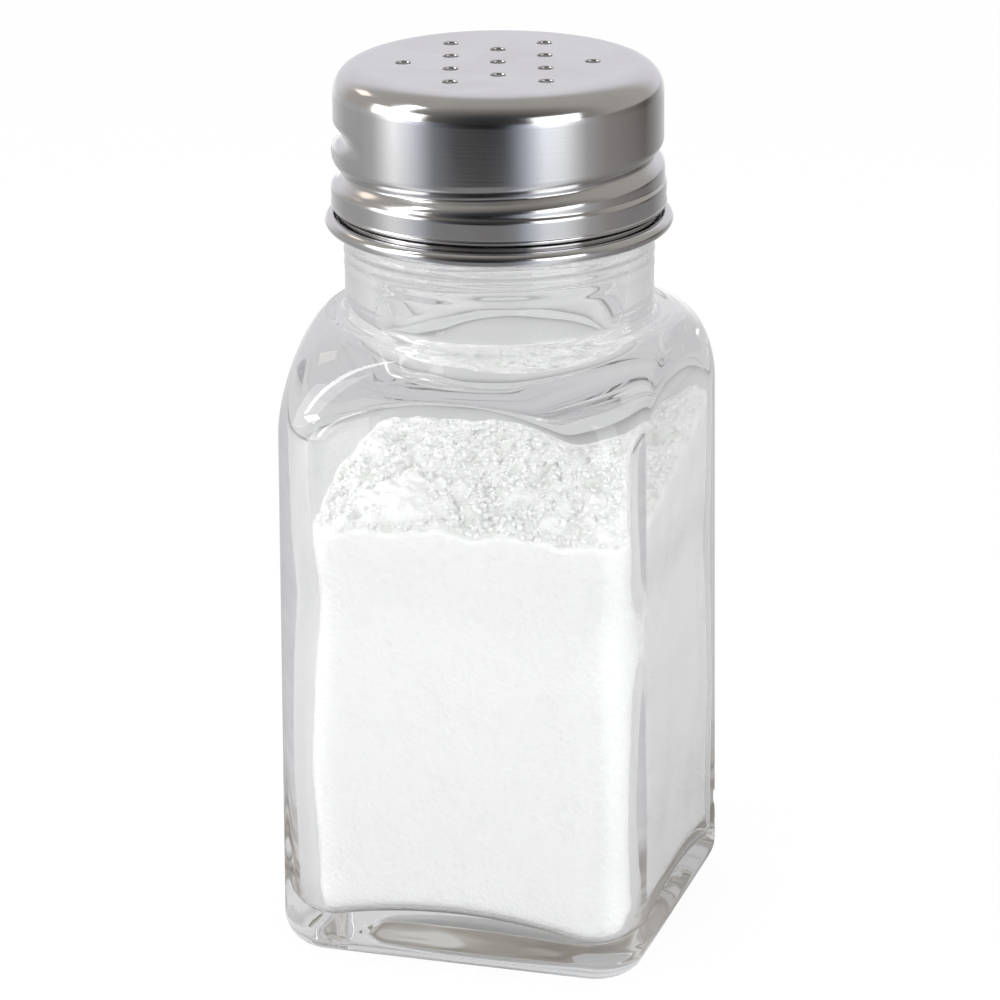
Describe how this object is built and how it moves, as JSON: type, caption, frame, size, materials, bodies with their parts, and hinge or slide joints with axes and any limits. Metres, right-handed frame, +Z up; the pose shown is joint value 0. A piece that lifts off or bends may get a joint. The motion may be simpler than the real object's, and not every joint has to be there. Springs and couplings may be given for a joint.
{
  "type": "salt shaker",
  "caption": "Square glass salt shaker with round neck, screw-on perforated steel lid, sealing ring and a fill of salt.",
  "frame": {"origin": "middle of the base, on the surface it stands on", "axes": "+Z up along the neck and the lid; the four flat sides face +X, -X, +Y and -Y"},
  "size_m": [0.0424, 0.0424, 0.1],
  "materials": {
    "clear_glass": "polished",
    "salt_grains": "matte",
    "seal_plastic": "satin",
    "lid_steel": "satin"
  },
  "bodies": {
    "bottle": {"glass_bottle": "clear_glass", "salt": "salt_grains"},
    "seal": {"seal_ring": "seal_plastic"},
    "cap": {"lid": "lid_steel"}
  },
  "joints": [
    {"name": "lid_rise", "type": "slide", "parent": "bottle", "child": "seal", "axis": [0, 0, 1], "range_m": [0, 0.0179]},
    {"name": "lid_turn", "type": "hinge", "parent": "seal", "child": "cap", "pos_m": [0, 0, 0.09], "axis": [0, 0, 1], "range_deg": [0, 1440]}
  ],
  "couplings": [
    {"joint": "lid_rise", "follows": "lid_turn", "m_per_rad": 0.00070824}
  ]
}
